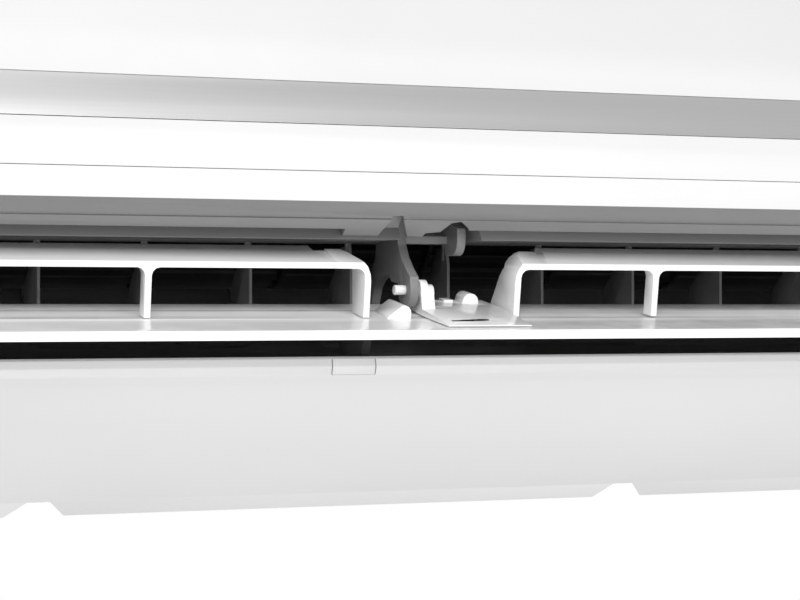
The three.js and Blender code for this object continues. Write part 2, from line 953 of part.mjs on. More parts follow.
function frontPanel() {
  const reach = halfWidth - caseWall - 0.5;
  const face = frontBand(panelLow + seatGap, hingeZ - panelTopDrop);
  const back = offset(innerWallLine, 0)
    .map(([y, z]) => [y - panelBackGap, z + 0.6])
    .filter((p) => p[1] < panelHigh - 8);
  const block = alongX(
    [...face, [hingeY, hingeZ], [hingeY + 0.6, hingeZ - 8], ...back.reverse()],
    -reach,
    reach,
  );
  const pocketFace = frontBand(panelLow + 6, panelHigh - 14, panelWall);
  const pocket = alongX(
    [...pocketFace, [frontFace + 30, panelHigh - 14], [frontFace + 30, panelLow + 6]],
    -reach + panelFlange,
    reach - panelFlange,
  );
  const bead = barX(hingeY, hingeZ, -reach, reach, hingeBead, 24);
  const sockets = [-1, 1].map((side) =>
    barX(
      hingeY,
      hingeZ,
      side * (halfWidth - 11.6),
      side * (halfWidth + 1),
      hingePin + bearingClearance,
      12,
    ),
  );
  const stripSpace = alongX(
    [...frontBand(stripLow - stripGroove, stripHigh + stripGroove, -2),
      ...frontBand(stripLow - stripGroove, stripHigh + stripGroove, stripThickness + seatGap).reverse()],
    -reach + 1,
    reach - 1,
  );
  return cut(join(cut(block, pocket), bead), sockets, stripSpace);
}

function trimStrip() {
  const reach = halfWidth - caseWall - 0.5 - 1 - seatGap;
  return alongX(
    [...frontBand(stripLow, stripHigh), ...frontBand(stripLow, stripHigh, stripThickness).reverse()],
    -reach,
    reach,
  );
}

// ---------------------------------------------------------------- filters

function filter(x0, x1) {
  const corner = arc(filterY + filterBend, unitHeight - 2.6 - filterBend, filterBend, 180, 90, 5);
  const line = [[filterY, filterLow], ...corner, [filterRear, unitHeight - 2.6]];
  const body = alongX(sheet(line, -filterThickness), x0, x1);
  const columns = 4;
  const width = (x1 - x0 - 2 * filterRim + filterRib) / columns;
  const windows = [];
  for (let i = 0; i < columns; i += 1) {
    const left = x0 + filterRim + i * width;
    const right = left + width - filterRib;
    const uprightRows = 2;
    const low = filterLow + filterRim;
    const high = unitHeight - 22;
    const step = (high - low + filterRib) / uprightRows;
    for (let j = 0; j < uprightRows; j += 1) {
      windows.push(
        box(left, right, filterY - 6, filterY + 6, low + j * step, low + (j + 1) * step - filterRib),
      );
    }
    const flatRows = 2;
    const front = filterY + 20;
    const rear = filterRear - filterRim;
    const run = (rear - front + filterRib) / flatRows;
    for (let j = 0; j < flatRows; j += 1) {
      windows.push(
        box(
          left,
          right,
          front + j * run,
          front + (j + 1) * run - filterRib,
          unitHeight - 10,
          unitHeight + 4,
        ),
      );
    }
  }
  return cut(body, windows);
}

// ---------------------------------------------------------------- drain pan

function drainPan() {
  const left = ductLeft + seatGap;
  const right = ductRight - seatGap;
  const backOfTongue = arc(fanY, fanZ, tongueRadius + panWall + 0.5, 206, 222, 3);
  const troughCorner = [-136, panFloor];
  const outline = [
    roofFront,
    roofBend,
    tongueTip,
    ...tongueFace,
    ...backOfTongue,
    troughCorner,
    [panFront + panWall + 2, panFloor - 2],
    [panFront + panWall, panFloor + 1],
    [panFront + panWall, panRim],
    [panFront, panRim],
    [panFront, soffitHeight + 11],
    [panFront + 6, soffitHeight + 6.5],
    [roofFront[0], soffitHeight + 5],
  ];
  const body = alongX(outline, left, right);
  const endOutline = [
    ...arc(fanY, fanZ, tongueRadius + 1, 206, 222, 3),
    [troughCorner[0] + 2, panFloor - 3],
    [panFront + 1, panFloor - 4],
    [panFront + 1, panRim],
    [-140, panRim + 2],
  ];
  const ends = [alongX(endOutline, left, left + panWall), alongX(endOutline, right - panWall, right)];
  const z = panFloor + 8.5;
  const spigots = [
    barX(-150, z, left + 1, left - spigotLength, spigotRadius, 16),
    barX(-150, z, right - 1, right + spigotLength, spigotRadius, 16),
  ];
  const bores = [
    barX(-150, z, left + panWall + 2, left - spigotLength - 1, spigotBore, 16),
    barX(-150, z, right - panWall - 2, right + spigotLength + 1, spigotBore, 16),
  ];
  const pocket = alongX(
    [
      inDuct(-104, 112),
      inDuct(-104, 138.8),
      inDuct(-65, 138.8),
      inDuct(-46.4, 131.6),
      inDuct(-44.8, 121),
      inDuct(-60, 112),
    ],
    pocketLeft,
    pocketRight,
  );
  const sockets = vaneCentres.map((x) => {
    const foot = inDuct(vaneAxis, vaneHigh - 1);
    const head = inDuct(vaneAxis, vaneHigh + vanePinLength + 0.5);
    return bar([x, ...foot], [x, ...head], vanePinRadius + bearingClearance, 6);
  });
  return cut(join(body, ends, spigots), bores, pocket, sockets);
}

function drainPlug() {
  const z = panFloor + 8.5;
  const end = ductRight - seatGap + spigotLength;
  return join(
    barX(-150, z, end - 14, end + seatGap, spigotBore - seatGap, 14),
    barX(-150, z, end + seatGap, end + 3.5, spigotRadius + 1.5, 14),
  );
}

// ---------------------------------------------------------------- coil

const coilSlabs = {
  coil_front: [[filterY + 20, 101], [filterY + 20, frontSlabTop]],
  coil_top: [[-146, frontSlabTop + 12], [-92, topSlabTop]],
  coil_rear: [[-76, topSlabTop - 8], [-31, 198]],
};

function slabOutline([from, to], grow = 0) {
  const length = Math.hypot(to[0] - from[0], to[1] - from[1]);
  const u = [(to[0] - from[0]) / length, (to[1] - from[1]) / length];
  const n = [-u[1], u[0]];
  const half = coilThickness / 2 + grow;
  return [
    [from[0] - u[0] * grow + n[0] * half, from[1] - u[1] * grow + n[1] * half],
    [from[0] - u[0] * grow - n[0] * half, from[1] - u[1] * grow - n[1] * half],
    [to[0] + u[0] * grow - n[0] * half, to[1] + u[1] * grow - n[1] * half],
    [to[0] + u[0] * grow + n[0] * half, to[1] + u[1] * grow + n[1] * half],
  ];
}

function coilPlateWithBends(plateX, side) {
  const x0 = Math.min(plateX, plateX + side * coilPlate);
  const x1 = Math.max(plateX, plateX + side * coilPlate);
  const plates = Object.values(coilSlabs).map((slab) => alongX(slabOutline(slab, 2), x0, x1));
  const bridges = [
    alongX(
      [
        [-164, frontSlabTop - 4],
        [-158, frontSlabTop + 22],
        [-138, frontSlabTop + 6],
        [-142, frontSlabTop - 4],
      ],
      x0,
      x1,
    ),
    alongX(
      [[-100, topSlabTop + 4], [-70, topSlabTop], [-80, topSlabTop - 16], [-96, topSlabTop - 8]],
      x0,
      x1,
    ),
  ];
  const wallFace = side > 0 ? ductRight - seatGap : ductLeft + seatGap;
  const shift = side > 0 ? tubePitch : 0;
  const [frontFoot] = coilSlabs.coil_front;
  const tabHeight = frontFoot[1] + bendStart + shift + 1.5 * tubePitch;
  const near = Math.min(plateX, wallFace);
  const far = Math.max(plateX, wallFace);
  const tabs = [
    box(near, far, frontFoot[0] - 8, frontFoot[0] + 9, tabHeight, tabHeight + coilPlate),
    box(near, far, -92, -76, topSlabTop - 5, topSlabTop - 5 + coilPlate),
  ];
  const bends = [];
  for (const [from, to] of Object.values(coilSlabs)) {
    const length = Math.hypot(to[0] - from[0], to[1] - from[1]);
    const u = [(to[0] - from[0]) / length, (to[1] - from[1]) / length];
    const count = Math.floor(length / tubePitch / 2);
    for (let i = 0; i < count; i += 1) {
      const start = bendStart + shift + i * 2 * tubePitch;
      if (start + tubePitch < length) {
        const p = [from[0] + u[0] * start, from[1] + u[1] * start];
        const q = [from[0] + u[0] * (start + tubePitch), from[1] + u[1] * (start + tubePitch)];
        const root = plateX + side * 0.5;
        const reach = plateX + side * (coilPlate + 13);
        bends.push(bentBar([[root, ...p], [reach, ...p], [reach, ...q], [root, ...q]], coilTube, 9, 2, 5));
      }
    }
  }
  return join(plates, bridges, tabs, bends);
}

// ---------------------------------------------------------------- pipes

function pipe(radius, height, startY, startZ, drop) {
  return bentBar(
    [
      [coilRight + coilPlate + seatGap, startY, startZ],
      [drop, startY, startZ],
      [drop, pipeY, height],
      [pipeEnd, pipeY, height],
    ],
    radius,
    14,
    3,
    8,
  );
}

function flareNut(radius, height) {
  const across = radius + 4;
  const x0 = pipeEnd - 22;
  const x1 = pipeEnd - seatGap;
  const hex = alongX(arc(pipeY, height, across, 0, 300, 5), x0, x1);
  const bore = barX(pipeY, height, x0 - 1, x0 + 14, radius + 0.6, 12);
  return cut(hex, bore);
}

// ---------------------------------------------------------------- fan

function crossFlowFan() {
  const pitch = (fanRight - fanLeft - discThickness) / fanSegments;
  const ringInner = fanRadius - bladeDepth - 2;
  const discs = [];
  for (let i = 0; i <= fanSegments; i += 1) {
    const x = fanLeft + i * pitch;
    const disc = barX(fanY, fanZ, x, x + discThickness, fanRadius, 20);
    const open = i > 0 && i < fanSegments;
    discs.push(open ? cut(disc, barX(fanY, fanZ, x - 1, x + discThickness + 1, ringInner, 12)) : disc);
  }
  const mid = fanRadius - 0.7 - bladeDepth / 2;
  const lead = radians(24);
  const blade = [
    [-bladeDepth / 2, 0],
    [-bladeDepth / 2, -bladeThickness / 2],
    [bladeDepth / 2, -bladeThickness / 2],
    [0, bladeThickness * 0.8],
  ];
  const blades = [];
  for (let i = 0; i < fanBlades; i += 1) {
    const turn = (i * 2 * Math.PI) / fanBlades;
    const points = blade.map(([u, v]) => {
      const a = u * Math.cos(lead) - v * Math.sin(lead);
      const b = u * Math.sin(lead) + v * Math.cos(lead);
      const r = mid + a;
      return [
        fanY + r * Math.cos(turn) - b * Math.sin(turn),
        fanZ + r * Math.sin(turn) + b * Math.cos(turn),
      ];
    });
    blades.push(alongX(points, fanLeft + 0.5, fanRight - 0.5));
  }
  const hub = barX(fanY, fanZ, fanRight - 14, fanRight - 0.5, 12, 16);
  const bore = barX(fanY, fanZ, fanRight - 12, fanRight + 1, fanShaftRadius + seatGap, 12);
  const stubBore = barX(fanY, fanZ, fanLeft - 1, fanLeft + 3, fanShaftRadius + seatGap, 12);
  const stubHub = barX(fanY, fanZ, fanLeft + 0.5, fanLeft + 8, 10, 16);
  return cut(join(discs, blades, hub, stubHub), bore, stubBore);
}

// ---------------------------------------------------------------- motor and bearing

function fanMotor() {
  const x0 = motorLeft;
  const x1 = motorLeft + motorLength;
  const body = join(
    barX(fanY, fanZ, x0 + 4, x1 - 4, motorRadius, 24),
    barX(fanY, fanZ, x0, x1, motorRadius - 8, 16),
    barX(fanY, fanZ, x0 - 4, x1 + 4, 13, 12),
  );
  const socket = box(x0 + 16, x0 + 30, fanY - 9, fanY + 9, fanZ - motorRadius - 5, fanZ - motorRadius + 4);
  const bore = barX(fanY, fanZ, x0 - 6, x0 + 20, fanShaftRadius + bearingClearance, 12);
  return cut(join(body, socket), bore);
}

function motorClamp() {
  const x0 = motorLeft + 14;
  const x1 = motorLeft + motorLength - 18;
  const inner = motorRadius + seatGap;
  const strap = alongX(
    [...arc(fanY, fanZ, inner, 175, 5, 14), ...arc(fanY, fanZ, inner + 2, 5, 175, 14)],
    x0,
    x1,
  );
  const ear = box(x0, x1, fanY + inner + 0.2, backPlane - backWall - seatGap, fanZ + 2, fanZ + 6);
  const leg = box(x0, x1, fanY - inner - 2, fanY - inner + 0.1, bayTop + seatGap, fanZ + 4);
  return join(strap, ear, leg);
}

function bearingHolder() {
  const x1 = ductLeft - sideWall - seatGap;
  const plate = alongX(arc(fanY, fanZ, 24, 0, 330, 11), x1 - 3, x1);
  const cup = barX(fanY, fanZ, x1 - 16, x1, 14, 20);
  const room = barX(fanY, fanZ, x1 - 14, x1 + 1, 11 + seatGap, 20);
  return cut(join(plate, cup), room);
}

function fanBearing() {
  const x1 = ductLeft - sideWall - seatGap;
  const ring = barX(fanY, fanZ, x1 - 12, x1 - 2, 11, 20);
  return cut(ring, barX(fanY, fanZ, x1 - 13, x1 - 1, fanShaftRadius + bearingClearance, 14));
}

// ---------------------------------------------------------------- electrics

function electricalBox() {
  const outer = box(
    electricsLeft,
    electricsRight,
    electricsFront,
    electricsRear,
    electricsLow,
    electricsHigh,
  );
  const w = electricsWall;
  const room = box(
    electricsLeft + w,
    electricsRight - w,
    electricsFront - 1,
    electricsRear - w,
    electricsLow + w,
    electricsHigh - w,
  );
  const posts = [boardLeft + 10, boardRight - 10].flatMap((x) =>
    [boardLow + 8, boardHigh - 9].map(
      (z) => bar([x, electricsRear - w - 5, z], [x, electricsRear - 1, z], 3, 8),
    ),
  );
  return join(cut(outer, room), posts);
}

function electricalCover() {
  const y = electricsFront - seatGap;
  const skin = box(electricsLeft, electricsRight, y - 2, y, electricsLow, electricsHigh);
  const lip = cut(
    box(electricsLeft + 2.4, electricsRight - 2.4, y - 1, y + 5, electricsLow + 2.4, electricsHigh - 2.4),
    box(electricsLeft + 4, electricsRight - 4, y, y + 6, electricsLow + 4, electricsHigh - 4),
  );
  const window = box(
    electricsLeft + 14,
    electricsRight - 14,
    y - 3,
    y + 6,
    electricsLow + 8,
    electricsLow + 34,
  );
  return cut(join(skin, lip), window);
}

function controlBoard() {
  const y1 = electricsRear - electricsWall - 5 - seatGap;
  const board = box(boardLeft, boardRight, y1 - boardThickness, y1, boardLow, boardHigh);
  const relay = box(boardLeft + 6, boardLeft + 24, y1 - 18, y1 - 1, boardHigh - 44, boardHigh - 18);
  const transformer = box(
    boardRight - 42,
    boardRight - 18,
    y1 - 16,
    y1 - 1,
    boardHigh - 36,
    boardHigh - 10,
  );
  const heatSink = box(boardRight - 40, boardRight - 28, y1 - 14, y1 - 1, boardLow + 38, boardLow + 60);
  const capacitor = bar(
    [boardLeft + 14, y1 - 22, boardLow + 48],
    [boardLeft + 14, y1 - 1, boardLow + 48],
    8,
    12,
  );
  const socket = box(boardRight - 22, boardRight - 4, y1 - 10, y1 - 1, boardLow + 16, boardLow + 28);
  const parts = [relay, transformer, heatSink, capacitor, socket];
  return join(board, parts);
}

function terminalBlock() {
  const y = electricsFront + 18;
  const base = box(
    electricsLeft + 12,
    electricsRight - 12,
    y - 12,
    y + 4,
    electricsLow + 8 + 2,
    electricsLow + 30,
  );
  const cells = [];
  for (let i = 0; i < 4; i += 1) {
    const x = electricsLeft + 16 + i * 15;
    cells.push(box(x, x + 12, y - 14, y - 4, electricsLow + 14, electricsLow + 26));
  }
  const foot = box(
    electricsLeft + 12,
    electricsRight - 12,
    y - 8,
    y + 4,
    electricsLow + electricsWall + seatGap,
    electricsLow + 12,
  );
  return join(cut(base, cells), foot);
}

function displayBoard() {
  const z0 = displayLow + 6;
  const x0 = displayLeft;
  const y = frontFace + 9 + caseWall + seatGap;
  return join(
    box(x0, x0 + 40, y, y + boardThickness, z0 - 6, z0 + 14),
    box(x0 + 6, x0 + 22, y - 2.5, y + 1, z0, z0 + 8),
    bar([x0 + 30, y - 2.5, z0 + 4], [x0 + 30, y + 1, z0 + 4], 3, 10),
  );
}

function emergencyButton() {
  const face = frontAt(buttonZ, buttonSetback)[0];
  const back = face + buttonDepth;
  return join(
    bar([buttonX, face, buttonZ], [buttonX, back, buttonZ], buttonRadius, 16),
    bar([buttonX, back - 0.1, buttonZ], [buttonX, back + 1.9, buttonZ], buttonRadius + 2, 16),
  );
}

// ---------------------------------------------------------------- louver

/** How far the bowed deck stands above its middle height, at a place ahead of the pivot. */
function deckRise(ahead) {
  const centre = (louverAhead - louverBehind) / 2;
  const half = (louverAhead + louverBehind) / 2;
  return louverBow * ((ahead - centre) / half) ** 2 - louverBow / 2;
}

function louverSection() {
  const steps = 8;
  const deck = [];
  const under = [];
  for (let i = 0; i <= steps; i += 1) {
    const ahead = -louverBehind + ((louverAhead + louverBehind) * i) / steps;
    const rise = deckRise(ahead);
    const ends = i === 0 || i === steps;
    deck.push([ahead + (i === 0 ? 0.6 : 0) - (i === steps ? 0.6 : 0), rise]);
    under.push([ahead + (i === 0 ? 1.2 : 0) - (i === steps ? 1.2 : 0), rise - louverThickness]);
    if (ends) {
      const nose = i === 0 ? -louverBehind : louverAhead;
      (i === 0 ? under : deck).push(
        [nose, rise - (i === 0 ? louverThickness * 0.55 : louverThickness * 0.3)],
      );
    }
  }
  const start = under.splice(0, 2).reverse();
  return [...deck, ...under.reverse(), ...start.reverse()].map(([s, h]) => inLouver(s, h));
}

function louverArm(x0, x1) {
  const ring = arc(0, pivotAboveDeck, 5, -20, 200, 8);
  const outline = [[10, -0.8], ...ring, [-9, -0.8]].map(([s, h]) => inLouver(s, h));
  return alongX(outline, x0, x1);
}

function louverBlade() {
  const blade = alongX(louverSection(), louverLeft, louverRight);
  const arms = [louverArm(louverLeft + 0.4, louverLeft + 3), louverArm(louverRight - 3, louverRight - 0.4)];
  const pins = [
    barX(louverPivotY, louverPivotZ, louverLeft + 1, ductLeft - sideWall - 1, endPinRadius, 12),
    barX(louverPivotY, louverPivotZ, louverRight - 1, ductRight + sideWall + 6, endPinRadius, 12),
  ];
  const lugRight = strutLeft - seatGap - 0.4;
  const lugLine = [
    [lugRight - lugWidth, -0.8],
    [lugRight, -0.8],
    ...arc(lugRight - 3.4, lugHeight - 3.4, 3.4, 0, 100, 4),
    [lugRight - lugWidth + 1, 0.6],
  ];
  const lug = alongLouver(lugLine, -6, 12);
  return join(blade, arms, pins, lug);
}

/** The deflector above the deck: a bar on posts, with deep rounded end cheeks. */
function deflector(x0, x1, freeEnd, postXs) {
  const [cheekFoot, cheekTop] = freeEnd === x0 ? [-15, -3] : [-2, -5];
  const foot = Math.max(deckRise(cheekFoot), deckRise(deflectorAhead)) + seatGap;
  const rise = deflectorThickness;
  const round = 12;
  const topHeight = deflectorRearHeight + rise + 0.4;
  const leftRound = freeEnd === x0 ? round : 0;
  const rightRound = freeEnd === x1 ? round : 0;
  const outer = [
    [x0, foot],
    [x1, foot],
    ...(rightRound ? arc(x1 - round, topHeight - round, round, 0, 90, 6) : [[x1, topHeight]]),
    ...(leftRound ? arc(x0 + round, topHeight - round, round, 90, 180, 6) : [[x0, topHeight]]),
  ];
  const plate = (points) => alongLouver(points, -louverBehind - 6, deflectorAhead + 1);
  const windows = [];
  const stops = [x0 - 1, ...postXs, x1 + 1].sort((a, b) => a - b);
  const corner = 3.4;
  for (let i = 1; i < stops.length; i += 1) {
    const left = i === 1 ? x0 + postWidth : stops[i - 1] + postWidth / 2;
    const right = i === stops.length - 1 ? x1 - postWidth : stops[i] - postWidth / 2;
    windows.push(
      plate([
        [left, -3],
        [right, -3],
        ...arc(right - corner, deflectorHeight - corner, corner, 0, 90, 3),
        ...arc(left + corner, deflectorHeight - corner, corner, 90, 180, 3),
      ]),
    );
  }
  const barSection = [
    [deflectorAhead, deflectorHeight - 0.2],
    [deflectorAhead + 0.4, deflectorHeight + 1.2],
    [deflectorAhead - 0.5, deflectorHeight + rise],
    [-deflectorBehind, deflectorRearHeight + rise],
    [-deflectorBehind - 0.7, deflectorRearHeight + rise / 2],
    [-deflectorBehind, deflectorRearHeight],
  ];
  const barZone = alongX(barSection.map((p) => inLouver(...p)), x0, x1);
  const postZone = alongX(
    [
      [deflectorAhead, -2],
      [deflectorAhead, deflectorHeight + 1],
      [deflectorAhead - postDepth, deflectorHeight + 2.4],
      [deflectorAhead - postDepth, -2],
    ].map((p) => inLouver(...p)),
    x0,
    x1,
  );
  const cheekZone = (from, to) =>
    alongX(
      [
        [deflectorAhead, -2],
        [deflectorAhead + 0.2, deflectorHeight + 1],
        [deflectorAhead - 0.5, deflectorHeight + rise],
        [cheekTop - 4, deflectorRearHeight + rise],
        [cheekTop, deflectorHeight - 1],
        [cheekFoot, 0],
        [cheekFoot, -2],
      ].map((p) => inLouver(...p)),
      from,
      to,
    );
  const grow = freeEnd === x0 ? [x0, x0 + round + 3] : [x1 - round - 3, x1];
  const frame = cut(plate(outer), windows);
  const zone = join(barZone, postZone, cheekZone(...grow));
  const trimmed = frame.intersect(zone);
  const [stepFrom, stepTo] = freeEnd === x0 ? [x0 - 1, x0 + endStep] : [x1 - endStep, x1 + 1];
  const stepLine = [
    [cheekTop - 1, deflectorHeight - 3],
    [cheekTop - 3, 40],
    [-24, 40],
    [-24, deflectorHeight - 3],
  ];
  return cut(trimmed, alongX(stepLine.map((p) => inLouver(...p)), stepFrom, stepTo));
}

/** A [x, height] outline with a round top, standing on the louver's clip. */
function roundTop(left, right, top) {
  const radius = (right - left) / 2;
  return [[left, 1], [right, 1], ...arc(left + radius, top - radius, radius, 0, 180, 6)];
}

function louverClip() {
  const outline = (points) => points.map(([s, h]) => inLouver(s, h));
  const [left, right] = [strutLeft + strutThickness + 2, clipRight];
  const section = [
    [38, 0.35],
    [38, 0.9],
    [24, 1.9],
    [2, clipHeight],
    [-18, clipHeight],
    [-19, 2.2],
    [-19, 0.65],
    [12, -0.1],
  ];
  const base = alongX(outline(section), left, right);
  const boss = alongX(
    outline([[8, 1], ...arc(0, pivotAboveDeck, 4.5, -10, 190, 10), [-8, 1]]),
    left,
    left + 3.4,
  );
  const step = alongX(
    outline([[7, 1], ...arc(0, pivotAboveDeck - 1.4, 3.9, -10, 190, 8), [-8, 1]]),
    left + 3.2,
    left + 6.4,
  );
  const rearHump = alongLouver(roundTop(20, 27.5, clipHeight + 4.4), -17, -8);
  const tab = alongLouver(
    [[12.6, 1], [17.4, 1], [17.2, clipHeight + 0.9], [12.8, clipHeight + 0.9]],
    -18,
    -12,
  );
  const slot = alongLouver([[-9, 1.4], [1, 1.4], [1, 6], [-9, 6]].map(([x, h]) => [x + 9, h]), 29, 34);
  const recess = alongLouver([[12.5, 1.5], [17.5, 1.5], [17.5, 6], [12.5, 6]], 27, 32);
  const bore = barX(louverPivotY, louverPivotZ, -10, left + 8, louverPinRadius + 0.1, 14);
  return cut(join(base, boss, step, rearHump, tab), slot, recess, bore);
}

function louverMotor() {
  const x0 = rightWall + seatGap;
  const body = barX(louverPivotY, louverPivotZ, x0, x0 + 17, 12, 24);
  const ears = box(
    x0,
    x0 + 1.6,
    louverPivotY - 3.5,
    louverPivotY + 3.5,
    louverPivotZ - 10,
    louverPivotZ + 17,
  );
  const socket = barX(louverPivotY, louverPivotZ, x0 - 1, x0 + 7, endPinRadius + bearingClearance, 12);
  const plug = box(
    x0 + 4,
    x0 + 14,
    louverPivotY + 4,
    louverPivotY + 15,
    louverPivotZ - 5,
    louverPivotZ + 5,
  );
  return cut(join(body, ears, plug), socket);
}

function louverBush() {
  const radius = endPinRadius + 2.6 - bearingClearance;
  return cut(
    join(
      barX(louverPivotY, louverPivotZ, leftWall - 1.5, ductLeft - 0.3, radius, 16),
      barX(louverPivotY, louverPivotZ, leftWall - 1.5, leftWall - seatGap, radius + 2, 16),
    ),
    barX(louverPivotY, louverPivotZ, leftWall - 3, ductLeft + 1, endPinRadius + bearingClearance, 12),
  );
}

// ---------------------------------------------------------------- centre support

const pivotAlong = louverPivotY * Math.cos(
  radians(ductSlope),
) + louverPivotZ * Math.sin(radians(ductSlope));
const pivotAcross = -louverPivotY * Math.sin(
  radians(ductSlope),
) + louverPivotZ * Math.cos(radians(ductSlope));

function centreStrut() {
  const ring = arc(pivotAlong, pivotAcross, strutRing, 20, -205, 14);
  const outline = [
    [-73.6, 138.4],
    [-66.5, 138.4],
    [-48, 130.4],
    [-46, 121],
    [-37, 112],
    [-15, 98],
    [3, 84],
    [3, ductFloor + 1],
    [-27, ductFloor + seatGap],
    [-33, 88],
    [-41.6, 101],
    [-45.4, 108],
    [-50, 111.4],
    [-57, 113.9],
    [-63.1, 113.9],
    [-67, 110.7],
    ...ring,
    [-90, 112.4],
    [-84.2, 116.4],
    [-78.6, 121.2],
    [-75.2, 126.4],
  ].map(([a, v]) => inDuct(a, v));
  const plate = alongX(outline, strutLeft, strutLeft + strutThickness);
  const bore = barX(
    louverPivotY,
    louverPivotZ,
    strutLeft - 1,
    strutLeft + strutThickness + 1,
    louverPinRadius + bearingClearance,
    14,
  );
  return cut(plate, bore);
}

function strutHook() {
  const right = strutLeft + strutThickness + seatGap;
  const arm = alongX(
    [[-72, 130.4], [-64, 132.6], [-61, 130.4], [-66, 127.6], [-72, 127]].map(([a, v]) => inDuct(a, v)),
    right,
    hookLeft + 0.5,
  );
  const lobe = alongX(
    [
      [-62, 137],
      [-70, 137.4],
      [-83.6, 133.6],
      [-84.2, 130.4],
      ...arc(-77.6, 128.2, 6.4, 185, 285, 5),
      [-70.5, 121.9],
      [-66.5, 130],
    ].map(([a, v]) => inDuct(a, v)),
    hookLeft,
    hookLeft + hookWidth,
  );
  return join(arm, lobe);
}

// ---------------------------------------------------------------- vanes

const vaneAxis = vaneFront + vanePinInset;
const vaneCentres = [];
for (let i = 0; i < vanesLeft; i += 1) {
  vaneCentres.push(-(i + 0.5) * vanePitch);
}
for (let i = 0; i < vanesRight; i += 1) {
  vaneCentres.push((i + 0.5) * vanePitch);
}

function vane(x) {
  const rearClear = fanRadius + 7;
  const fanAlong = fanY * Math.cos(radians(ductSlope)) + fanZ * Math.sin(radians(ductSlope));
  const fanAcross = -fanY * Math.sin(radians(ductSlope)) + fanZ * Math.cos(radians(ductSlope));
  const rear = [];
  for (const across of [vaneHigh, 117, 108, 101]) {
    const drop = fanAcross - across;
    const reach = drop < rearClear ? Math.sqrt(rearClear ** 2 - drop ** 2) : 0;
    rear.push([Math.min(fanAlong - reach, vaneFront + vaneDepth), across]);
  }
  const outline = [
    [vaneFront + 1.5, vaneLow],
    [vaneFront, vaneLow + 2],
    [vaneFront, 118],
    [vaneFront + 2, vaneHigh],
    ...rear,
    [vaneFront + vaneDepth, vaneLow + 2],
    [vaneFront + vaneDepth - 2, vaneLow],
  ].map(([a, v]) => inDuct(a, v));
  const blade = alongX(outline, x - vaneThickness / 2, x + vaneThickness / 2);
  const pin = bar(
    [x, ...inDuct(vaneAxis, vaneHigh - 6)],
    [x, ...inDuct(vaneAxis, vaneHigh + vanePinLength)],
    vanePinRadius,
    6,
  );
  const linkPin = bar(
    [x, ...inDuct(vaneAxis + linkPinFromAxis, vaneLow + 3)],
    [x, ...inDuct(vaneAxis + linkPinFromAxis, vaneLow - linkHeight - 1)],
    linkPinRadius,
    6,
  );
  return join(blade, pin, linkPin);
}

function vaneLink(centres) {
  const low = vaneLow - linkHeight - 0.4;
  const high = vaneLow - 0.4;
  const along = vaneAxis + linkPinFromAxis;
  const outline = [
    [along - linkWidth / 2, low],
    [along + linkWidth / 2, low],
    [along + linkWidth / 2, high],
    [along - linkWidth / 2, high],
  ].map(([a, v]) => inDuct(a, v));
  const left = Math.min(...centres) - linkOverhang;
  const right = Math.max(...centres) + linkOverhang;
  const holes = centres.map((x) =>
    bar(
      [x, ...inDuct(along, low - 1)],
      [x, ...inDuct(along, high + 1)],
      linkPinRadius + bearingClearance,
      6,
    ),
  );
  return cut(alongX(outline, left, right), holes);
}

// ---------------------------------------------------------------- assembly

place('wall_plate', wallPlate(), 'steel');
place('rear_chassis', rearChassis(), 'greyDuct');
place('outlet_bar', outletBar(), 'greyDuct');
place('front_frame', frontFrame(), 'whiteCase');
place('bottom_cover', bottomCover(), 'whiteCase');
place('screw_cap_centre', screwCap(capCentres[0]), 'whiteCase');
place('screw_cap_left', screwCap(capCentres[1]), 'whiteCase');
place('screw_cap_right', screwCap(capCentres[2]), 'whiteCase');
place('front_panel', frontPanel(), 'whiteCase');
place('trim_strip', trimStrip(), 'silver');

const filterGap = filterDivider / 2 + slideGap;
place('filter_left', filter(recessLeft + slideGap, filterCentre - filterGap), 'filter');
place('filter_right', filter(filterCentre + filterGap, recessRight - slideGap), 'filter');

place('drain_pan', drainPan(), 'greyDuct');
place('drain_plug', drainPlug(), 'rubber');

for (const [name, slab] of Object.entries(coilSlabs)) {
  place(name, alongX(slabOutline(slab), coilLeft, coilRight), 'fins');
}
place('coil_plate_left', coilPlateWithBends(coilLeft - seatGap, -1), 'steel');
place('coil_plate_right', coilPlateWithBends(coilRight + seatGap, 1), 'steel');
place('gas_pipe', pipe(gasPipeRadius, gasPipeHeight, -36, 222, pipeDrop), 'copper');
place('liquid_pipe', pipe(liquidPipeRadius, liquidPipeHeight, -26, 214, pipeDrop + 12), 'copper');
place('flare_nut_gas', flareNut(gasPipeRadius, gasPipeHeight), 'brass');
place('flare_nut_liquid', flareNut(liquidPipeRadius, liquidPipeHeight), 'brass');

place('cross_flow_fan', crossFlowFan(), 'darkFan');
place('fan_stub_shaft', barX(fanY, fanZ, leftWall - 12, fanLeft + 2.5, fanShaftRadius, 12), 'steel');
place('motor_shaft', barX(fanY, fanZ, fanRight - 11.5, motorLeft + 18, fanShaftRadius, 12), 'steel');
place('fan_bearing', fanBearing(), 'rubber');
place('bearing_holder', bearingHolder(), 'greyDuct');
place('fan_motor', fanMotor(), 'steel');
place('motor_clamp', motorClamp(), 'greyDuct');

place('electrical_box', electricalBox(), 'whiteCase');
place('electrical_cover', electricalCover(), 'steel');
place('control_board', controlBoard(), 'board');
place('terminal_block', terminalBlock(), 'blackPlastic');
place('display_board', displayBoard(), 'board');
place('emergency_button', emergencyButton(), 'whiteCase');

